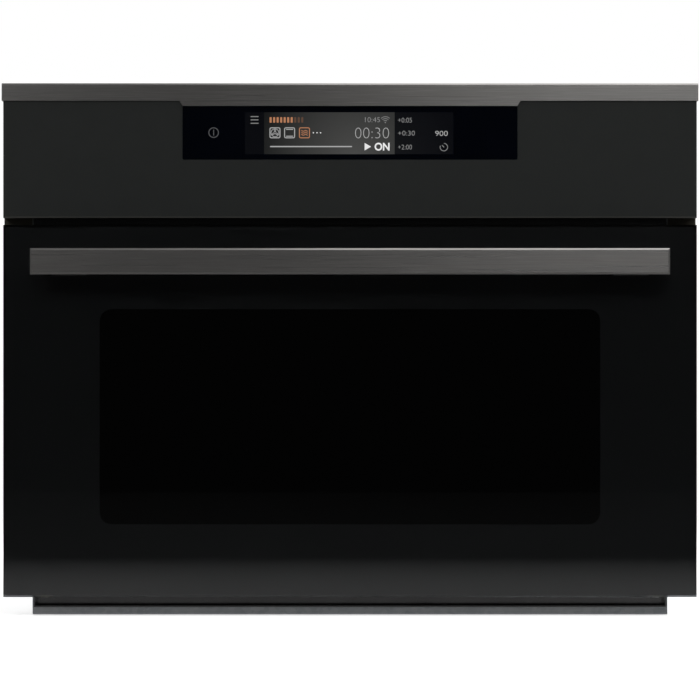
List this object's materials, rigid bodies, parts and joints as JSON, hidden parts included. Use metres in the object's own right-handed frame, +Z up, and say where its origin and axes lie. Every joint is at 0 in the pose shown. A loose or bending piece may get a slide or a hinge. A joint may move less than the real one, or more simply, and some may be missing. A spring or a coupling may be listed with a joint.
{
  "type": "combination microwave oven",
  "caption": "Compact built-in combination microwave oven with a dark panel, drop-down glass door, bar handle, enamelled cavity, fan, grill and cooling blower.",
  "frame": {"origin": "middle of the cabinet's front edge at the height of the oven's underside, on the base plate", "axes": "+Z up, the front looks to -Y, +X to the right seen from the front"},
  "size_m": [0.595, 0.613, 0.455],
  "materials": {
    "fascia_black": "matte powder coat",
    "dark_steel": "fine horizontal brushing, dark tint",
    "black_glass": "black-backed, polished",
    "display_frame": "matte",
    "circuit_board": "solder mask",
    "carrier_plastic": "moulded",
    "galvanised": "zinc spangle",
    "frame_black": "black enamel",
    "flange_steel": "plain sheet",
    "gland_plastic": "moulded",
    "terminal_plastic": "moulded",
    "enamel": "speckled enamel",
    "mineral_wool": "fibrous",
    "oven_steel": "brushed",
    "fan_steel": "aluminised sheet",
    "motor_core": "laminated",
    "heater_sheath": "oxidised steel",
    "quartz": "milky quartz",
    "lamp_glass": "pressed glass",
    "chrome_wire": "polished",
    "clear_glass": "clear",
    "tinted_glass": "tinted, dot-printed edge",
    "mica": "mica sheet",
    "stirrer_aluminium": "bare sheet",
    "waveguide_steel": "zinc plated",
    "capacitor_can": "bare can",
    "blower_plastic": "moulded",
    "switch_plastic": "moulded",
    "plunger_plastic": "moulded",
    "hinge_steel": "stamped sheet",
    "door_steel": "pressed sheet",
    "choke_plastic": "heat-proof moulding",
    "profile_black": "black anodised",
    "handle_steel": "dark brushed"
  },
  "bodies": {
    "oven": {"control_fascia": "fascia_black", "top_trim": "dark_steel", "display_glass": "black_glass", "display_module": "display_frame", "control_board": "circuit_board", "panel_carrier": "carrier_plastic", "base_plate": "galvanised", "side_panel_left": "galvanised", "side_panel_right": "galvanised", "top_cover": "galvanised", "rear_cover": "galvanised", "front_frame": "frame_black", "mounting_flange_left": "flange_steel", "mounting_flange_right": "flange_steel", "cord_gland": "gland_plastic", "terminal_block": "terminal_plastic", "cavity_liner": "enamel", "insulation_blanket": "mineral_wool", "deck_plate": "galvanised", "fan_cover": "enamel", "fan_motor": "motor_core", "ring_heater": "heater_sheath", "grill_tubes": "quartz", "oven_lamp": "lamp_glass", "temperature_probe": "oven_steel", "side_rack_left": "chrome_wire", "side_rack_right": "chrome_wire", "glass_tray": "clear_glass", "stirrer_cover": "mica", "stirrer_motor": "waveguide_steel", "waveguide": "waveguide_steel", "magnetron": "waveguide_steel", "hv_transformer": "motor_core", "hv_capacitor": "capacitor_can", "power_board": "circuit_board", "blower_housing": "galvanised", "blower_motor": "motor_core", "interlock_switches": "switch_plastic", "hinge_bracket_left": "hinge_steel", "hinge_bracket_right": "hinge_steel"},
    "door": {"hinge_arm_left": "hinge_steel", "hinge_arm_right": "hinge_steel", "hinge_pins": "hinge_steel", "door_glass": "tinted_glass", "door_pan": "door_steel", "door_choke": "door_steel", "choke_cover": "choke_plastic", "door_inner_glass": "clear_glass", "door_middle_glass": "clear_glass", "door_side_profiles": "profile_black", "door_top_trim": "choke_plastic", "door_bottom_trim": "profile_black", "door_handle": "handle_steel", "latch_hooks": "hinge_steel"},
    "convection_fan": {"convection_fan": "fan_steel"},
    "stirrer": {"stirrer": "stirrer_aluminium"},
    "blower_wheel": {"blower_wheel": "blower_plastic"},
    "interlock_plunger_left": {"interlock_plunger_left": "plunger_plastic"},
    "interlock_plunger_right": {"interlock_plunger_right": "plunger_plastic"},
    "wire_shelf": {"wire_shelf": "chrome_wire"}
  },
  "joints": [
    {"name": "door_hinge", "type": "hinge", "parent": "oven", "child": "door", "pos_m": [0, -0.009, 0.022], "axis": [1, 0, 0], "range_deg": [0, 90]},
    {"name": "plunger_left", "type": "slide", "parent": "oven", "child": "interlock_plunger_left", "axis": [0, -1, 0], "range_m": [0, 0.005]},
    {"name": "plunger_right", "type": "slide", "parent": "oven", "child": "interlock_plunger_right", "axis": [0, -1, 0], "range_m": [0, 0.005]},
    {"name": "convection_fan_spin", "type": "hinge", "parent": "oven", "child": "convection_fan", "pos_m": [0, 0.45, 0.17025], "axis": [0, 1, 0], "continuous": true},
    {"name": "stirrer_spin", "type": "hinge", "parent": "oven", "child": "stirrer", "pos_m": [0, 0.2147, 0.29], "axis": [0, 0, 1], "continuous": true},
    {"name": "blower_spin", "type": "hinge", "parent": "oven", "child": "blower_wheel", "pos_m": [0, 0.449, 0.3463], "axis": [1, 0, 0], "continuous": true},
    {"name": "shelf_slide", "type": "slide", "parent": "oven", "child": "wire_shelf", "axis": [0, -1, 0], "range_m": [0, 0.02]}
  ],
  "couplings": [
    {"joint": "plunger_left", "follows": "door_hinge", "m_per_rad": 0.00318},
    {"joint": "plunger_right", "follows": "door_hinge", "m_per_rad": 0.00318}
  ]
}
